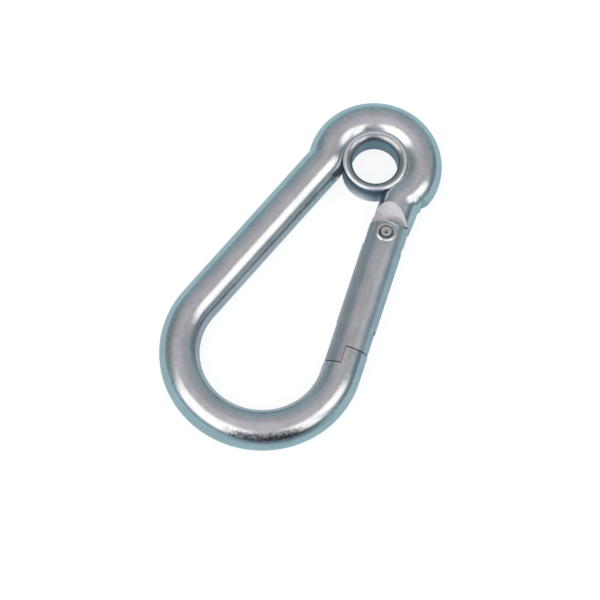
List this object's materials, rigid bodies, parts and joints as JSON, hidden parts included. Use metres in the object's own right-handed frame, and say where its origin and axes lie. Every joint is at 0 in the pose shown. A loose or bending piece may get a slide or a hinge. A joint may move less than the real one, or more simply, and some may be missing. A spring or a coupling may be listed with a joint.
{
  "type": "eye hook with latch",
  "caption": "Pear-shaped spring hook bent from round bar, with a round eyelet at the top and a straight sprung latch closing its side.",
  "frame": {"origin": "centre of the eyelet bore, half way through the bar", "axes": "+Z along the eyelet bore, +Y from the bow towards the eyelet, +X towards the gate"},
  "size_m": [0.0505, 0.1, 0.01],
  "materials": {
    "polished_bar": "polished stainless bar",
    "pressed_eyelet": "polished pressed stainless",
    "turned_gate": "drawn stainless, lengthwise grain",
    "rivet": "peened stainless",
    "turned_pin": "turned stainless",
    "spring_wire": "spring wire"
  },
  "bodies": {
    "hook": {"hook_body": "polished_bar", "eyelet": "pressed_eyelet"},
    "latch": {"gate": "turned_gate", "hinge_pin": "rivet", "latch_pin": "rivet", "spring": "spring_wire"},
    "plunger": {"plunger": "turned_pin"}
  },
  "joints": [
    {"name": "gate_hinge", "type": "hinge", "parent": "hook", "child": "latch", "pos_m": [0.01163, -0.01591, 0], "axis": [0, 0, -1], "range_deg": [0, 35], "stiffness_Nm_per_rad": 0.3, "springref_deg": -28.65},
    {"name": "plunger_slide", "type": "slide", "parent": "latch", "child": "plunger", "axis": [0.1985, -0.9801, 0], "range_m": [0, 0.00125], "deforming": ["spring"]}
  ],
  "couplings": [
    {"joint": "plunger_slide", "follows": "gate_hinge", "m_per_rad": 0.00197}
  ]
}
